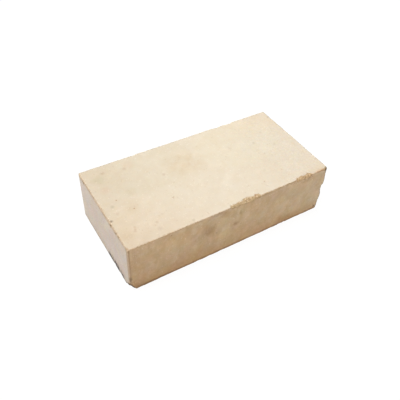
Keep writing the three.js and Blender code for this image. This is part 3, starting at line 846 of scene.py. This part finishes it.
# darker places in and beside the chips: mostly painted shade in their hollows and under the broken edges, partly the
# browner clay along the broken arris at the right end
for at, r, tint, strength in (
    ((25.6, -Y + 3.9, Z - 0.4), 1.9, (0.42, 0.27, 0.16), 0.80),
    ((28.5, -Y + 0.6, Z - 1.6), 2.0, (0.40, 0.28, 0.15), 0.65),
    ((20.0, -Y + 0.1, Z - 3.4), 3.8, (0.42, 0.315, 0.165), 0.46),
    ((11.5, -Y + 0.2, Z - 2.9), 3.2, (0.44, 0.33, 0.175), 0.38),
    ((1.0, -Y + 0.2, Z - 2.6), 3.2, (0.43, 0.325, 0.17), 0.42),
    ((-4.5, -Y + 0.4, Z - 1.6), 2.8, (0.42, 0.31, 0.165), 0.50),
    ((97.6, -Y + 3.4, Z - 0.4), 1.9, (0.40, 0.27, 0.15), 0.75),
    ((85.0, -Y + 0.4, Z - 1.2), 1.9, (0.36, 0.26, 0.14), 0.60),
    ((98.2, -Y + 0.2, Z - 5.0), 1.8, (0.36, 0.26, 0.15), 0.42),
    ((72.0, -Y + 0.2, Z - 2.0), 2.0, (0.42, 0.30, 0.17), 0.50),
    ((80.0, -Y, Z - 4.4), 1.6, (0.36, 0.26, 0.16), 0.22),
    ((92.0, -Y, Z - 6.2), 1.8, (0.42, 0.31, 0.20), 0.18),
    ((77.0, -Y, Z - 2.8), 1.8, (0.40, 0.29, 0.18), 0.25),
    ((66.0, -Y, Z - 2.2), 2.4, (0.44, 0.33, 0.21), 0.35),
    ((109.0, -Y + 0.8, Z - 0.2), 2.6, (0.66, 0.49, 0.35), 0.45),
    ((112.6, -Y + 0.8, Z - 0.8), 3.4, (0.57, 0.385, 0.25), 0.52),
    ((117.4, -Y + 0.8, Z - 0.8), 3.2, (0.55, 0.365, 0.23), 0.52),
    ((121.2, -Y + 0.4, Z - 0.9), 2.6, (0.48, 0.33, 0.205), 0.45),
    ((98.8, -Y, 57.0), 3.4, (0.44, 0.325, 0.215), 0.32),
    ((89.8, -Y, 57.8), 3.0, (0.46, 0.345, 0.22), 0.24),
    ((118.0, -Y, 54.4), 1.7, (0.40, 0.27, 0.18), 0.45),
    ((-X + 0.6, 48.6, Z - 3.9), 2.3, (0.20, 0.13, 0.07), 0.88),
    ((-X + 0.6, -8.0, Z - 2.2), 1.5, (0.36, 0.27, 0.18), 0.60),
    ((-X + 0.6, -22.5, Z - 3.6), 2.2, (0.32, 0.23, 0.15), 0.75),
    ((-X + 0.6, -34.5, Z - 3.0), 1.5, (0.36, 0.27, 0.18), 0.60),
    ((-X + 0.6, -40.5, Z - 2.4), 1.5, (0.34, 0.25, 0.16), 0.60),
    ((-X + 0.8, -Y + 0.8, 62.4), 2.0, (0.36, 0.24, 0.14), 0.60),
    ((X - 1.6, -Y + 0.4, Z - 1.2), 3.4, (0.17, 0.12, 0.065), 0.75),
    ((X - 0.6, -Y + 0.6, Z - 2.6), 4.4, (0.15, 0.105, 0.055), 0.85),
    ((119.8, -Y, 5.4), 2.5, (0.22, 0.165, 0.125), 0.80),
    ((117.6, -Y, 8.6), 1.5, (0.34, 0.25, 0.17), 0.45),
    ((78.0, -Y, 9.0), 2.4, (0.44, 0.34, 0.20), 0.35),
):
    colour = stain(colour, at, r, tint, strength, coords_in=mm_f, soft=0.3)
# the front face is darker and browner along its foot towards the left end
left_foot_dark_n, _ = g.noise(g.vec("MULTIPLY", mm, (0.16, 0.3, 0.62)), 1.0, 4, 0.7)
left_foot_dark = g.math("MULTIPLY", on_front, g.ramp(g.math("ADD", pz, g.math("MULTIPLY", g.math("ADD", px, X), 0.10)), 12.0, 3.0))
left_foot_dark = g.math("MULTIPLY", left_foot_dark, g.ramp(px, -X + 70.0, -X + 10.0, 0.0, 1.0))
colour = g.mix(g.math("MULTIPLY", left_foot_dark, g.ramp(left_foot_dark_n, 0.36, 0.60, 0.10, 0.80)), colour, (0.34, 0.215, 0.108))
# a dark mark on the left upright arris just above the corner break: painted shadow at the break's upper lip
colour = stain(colour, (-X + 0.2, -Y + 0.6, 19.0), 3.2, (0.24, 0.17, 0.10), 0.85, stretch=(1.0, 1.3, 0.55), coords_in=mm_f, soft=0.3)
# pale crumbs along the upper rim of the corner break: painted highlights where the crumbs catch the light
crumb_highlight_f = g.ramp(edge_n, 0.42, 0.60, 0.10, 1.0)
for sx, sz, r, strength in ((-123.2, 16.2, 2.0, 0.55), (-121.5, 15.1, 0.9, 0.45), (-119.3, 12.1, 1.9, 0.55), (-116.4, 11.3, 1.0, 0.45), (-114.9, 8.7, 1.6, 0.45)):
    colour = stain(colour, (sx, -Y, sz), r, (0.68, 0.54, 0.375), g.math("MULTIPLY", crumb_highlight_f, strength), coords_in=mm_f, soft=0.1)
# a flake left standing in each large chip, painted pale: a painted highlight on its top
colour = stain(colour, (26.6, -Y + 1.9, Z - 0.9), 1.5, (0.82, 0.66, 0.44), 0.85, coords_in=mm_f, soft=0.4)
colour = stain(colour, (99.0, -Y + 1.4, Z - 1.2), 1.5, (0.80, 0.62, 0.38), 0.80, coords_in=mm_f, soft=0.4)

# dark marks along the foot of the left face
foot_mark_n, _ = g.noise(g.vec("ADD", mm, (33.0, 4.0, -8.0)), 0.42, 4, 0.7)
foot_mark_m, _ = g.noise(g.vec("ADD", mm, (3.0, 44.0, -18.0)), 0.17, 3, 0.6)
foot_mark_w = g.math("ADD", g.math("MULTIPLY", g.math("SUBTRACT", foot_mark_n, 0.5), 0.8), g.math("MULTIPLY", g.math("SUBTRACT", foot_mark_m, 0.5), 1.3))
foot_mark_tint = g.mix(g.ramp(foot_mark_m, 0.40, 0.60), (0.068, 0.060, 0.060), (0.115, 0.098, 0.084))
for sy, half, top, strength in (
    (-11.8, 4.4, 9.0, 0.95),
    (-18.2, 3.0, 9.0, 0.75),
    (-25.0, 4.6, 9.2, 0.95),
    (-31.6, 4.4, 8.6, 0.95),
    (-39.0, 3.0, 9.5, 0.62),
    (-43.6, 4.2, 7.6, 0.85),
    (-6.0, 2.4, 4.0, 0.40),
    (-50.0, 3.0, 4.0, 0.35),
):
    reach = g.vec("LENGTH", g.join(g.math("MULTIPLY", g.math("SUBTRACT", py, sy), 1.0 / half), g.math("MULTIPLY", pz, 1.0 / top), 0.0))
    f = g.ramp(g.math("ADD", reach, foot_mark_w), 1.36, 0.56)
    f = g.math("MULTIPLY", f, g.ramp(px, -X + 4.0, -X + 2.0))
    colour = g.mix(g.math("MULTIPLY", f, strength), colour, foot_mark_tint)
# pits are painted darker at the bottom: painted shade in the hollows
colour = g.mix(g.math("MULTIPLY", pit_at, 0.55), colour, (0.46, 0.34, 0.22))

# ---- roughness and bump
rough = g.math("ADD", g.ramp(grain, 0.3, 0.7, 0.86, 0.95, "LINEAR"), g.math("MULTIPLY", fresh_f, 0.03))
fine, _ = g.noise(mm, 2.6, 3, 0.75)
lumps, _ = g.noise(mm, 0.5, 4, 0.6)
height = g.math("ADD", g.math("MULTIPLY", fine, 0.05), g.math("MULTIPLY", lumps, 0.10))
pores = g.voronoi(g.vec("ADD", mm_f, (7.0, -31.0, 17.0)), 0.55)
pore_id, _, _ = g.split(pores["Color"])
pore = g.math("MULTIPLY", g.ramp(pores["Distance"], 0.10, 0.30, 1.0, 0.0), g.ramp(pore_id, 0.82, 0.86))
height = g.math("SUBTRACT", height, g.math("MULTIPLY", pore, 0.12))
height = g.math("ADD", height, g.math("MULTIPLY", g.math("MULTIPLY", fresh_f, body_n), 0.55))
bump = g.node("ShaderNodeBump")
bump.inputs["Strength"].default_value = 1.0
bump.inputs["Distance"].default_value = 0.001
g.put(bump.inputs["Height"], height)

shader = g.node("ShaderNodeBsdfPrincipled")
shader.inputs["Specular IOR Level"].default_value = 0.28
g.put(shader.inputs["Base Color"], colour)
g.put(shader.inputs["Roughness"], rough)
g.put(shader.inputs["Normal"], bump.outputs["Normal"])
output = g.node("ShaderNodeOutputMaterial")
g.tree.links.new(shader.outputs["BSDF"], output.inputs["Surface"])
mesh.materials.append(g.material)

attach(brick, "root")
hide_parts("brick_body")

# ---------------------------------------------------------------- floor, light, camera
f = Graph("studio_floor")
fc = f.node("ShaderNodeTexCoord")
fn, _ = f.noise(fc.outputs["Object"], 30.0, 3, 0.6)
floor_shader = f.node("ShaderNodeBsdfPrincipled")
f.put(floor_shader.inputs["Base Color"], f.mix(f.ramp(fn, 0.3, 0.7), (0.088, 0.088, 0.087), (0.094, 0.094, 0.093)))
floor_shader.inputs["Roughness"].default_value = 1.0
floor_shader.inputs["Specular IOR Level"].default_value = 0.0
floor_shader.inputs["Emission Color"].default_value = (1.0, 1.0, 1.0, 1.0)
floor_shader.inputs["Emission Strength"].default_value = 0.92
f_out = f.node("ShaderNodeOutputMaterial")
f.tree.links.new(floor_shader.outputs["BSDF"], f_out.inputs["Surface"])
floor_mesh = bpy.data.meshes.new("floor")
floor_mesh.from_pydata([(-6, -6, 0), (6, -6, 0), (6, 6, 0), (-6, 6, 0)], [], [(0, 1, 2, 3)])
floor_mesh.materials.append(f.material)
floor = bpy.data.objects.new("floor", floor_mesh)
bpy.context.scene.collection.objects.link(floor)
floor.location.z = -0.0002

# a pale studio wall all round, far off, which only closes the view above the floor's edge
dome_mesh = bpy.data.meshes.new("studio_wall")
ring_points, ring_faces = [], []
SIDES, RISES = 64, 16
for k in range(RISES + 1):
    lift = math.radians(88.0 * k / RISES)
    for n in range(SIDES):
        turn = 2 * math.pi * n / SIDES
        ring_points.append((5.9 * math.cos(lift) * math.cos(turn), 5.9 * math.cos(lift) * math.sin(turn), 5.9 * math.sin(lift) - 0.01))
for k in range(RISES):
    for n in range(SIDES):
        m = (n + 1) % SIDES
        ring_faces.append((k * SIDES + n, (k + 1) * SIDES + n, (k + 1) * SIDES + m, k * SIDES + m))
dome_mesh.from_pydata(ring_points, [], ring_faces)
w = Graph("studio_wall")
wall_shader = w.node("ShaderNodeEmission")
wall_shader.inputs["Color"].default_value = (1.0, 1.0, 1.0, 1.0)
wall_shader.inputs["Strength"].default_value = 1.0
w_out = w.node("ShaderNodeOutputMaterial")
w.tree.links.new(wall_shader.outputs["Emission"], w_out.inputs["Surface"])
dome_mesh.materials.append(w.material)
dome = bpy.data.objects.new("studio_wall", dome_mesh)
bpy.context.scene.collection.objects.link(dome)
dome.visible_diffuse = False
dome.visible_glossy = False
dome.visible_transmission = False
dome.visible_volume_scatter = False
dome.visible_shadow = False

world = bpy.data.worlds.new("studio")
bpy.context.scene.world = world
world.use_nodes = True
background = world.node_tree.nodes.get("Background")
background.inputs["Color"].default_value = (1.0, 1.0, 1.0, 1.0)
background.inputs["Strength"].default_value = 0.10


def sun(name, towards, irradiance, colour_rgb, spread):
    """A soft distant lamp: towards points from the object to the lamp, irradiance is in units of white diffuse radiance."""
    data = bpy.data.lights.new(name, "SUN")
    data.energy = irradiance * math.pi
    data.color = colour_rgb
    data.angle = math.radians(spread)
    o = bpy.data.objects.new(name, data)
    bpy.context.scene.collection.objects.link(o)
    o.rotation_euler = Vector(towards).normalized().to_track_quat("Z", "Y").to_euler()
    return o


sun("key", (-0.27, 0.12, 0.953), 1.25, (1.0, 1.0, 1.0), 60)
sun("front_fill", (0.12, -0.93, 0.34), 0.16, (1.0, 0.56, 0.25), 60)
sun("left_fill", (-0.95, 0.15, 0.27), 0.08, (0.75, 0.90, 1.0), 60)

camera_data = bpy.data.cameras.new("camera")
camera_data.sensor_fit = "HORIZONTAL"
camera_data.sensor_width = 36.0
camera_data.lens = 486.883 / 400 * 36
camera_data.clip_start = 0.01
camera_data.clip_end = 50
camera = bpy.data.objects.new("camera", camera_data)
bpy.context.scene.collection.objects.link(camera)
right = Vector((0.853594, -0.518872, 0.046357))
down = Vector((-0.339303, -0.621286, -0.706312))
ahead = Vector((0.395287, 0.587176, -0.706382))
camera.matrix_world = Matrix.Translation(Vector((-0.230630, -0.334329, 0.423166))) @ Matrix(
    (right, -down, -ahead)
).transposed().to_4x4()
bpy.context.scene.camera = camera

view = bpy.context.scene.view_settings
view.view_transform = "Standard"
view.look = "None"
view.exposure = 0.0
view.gamma = 1.0
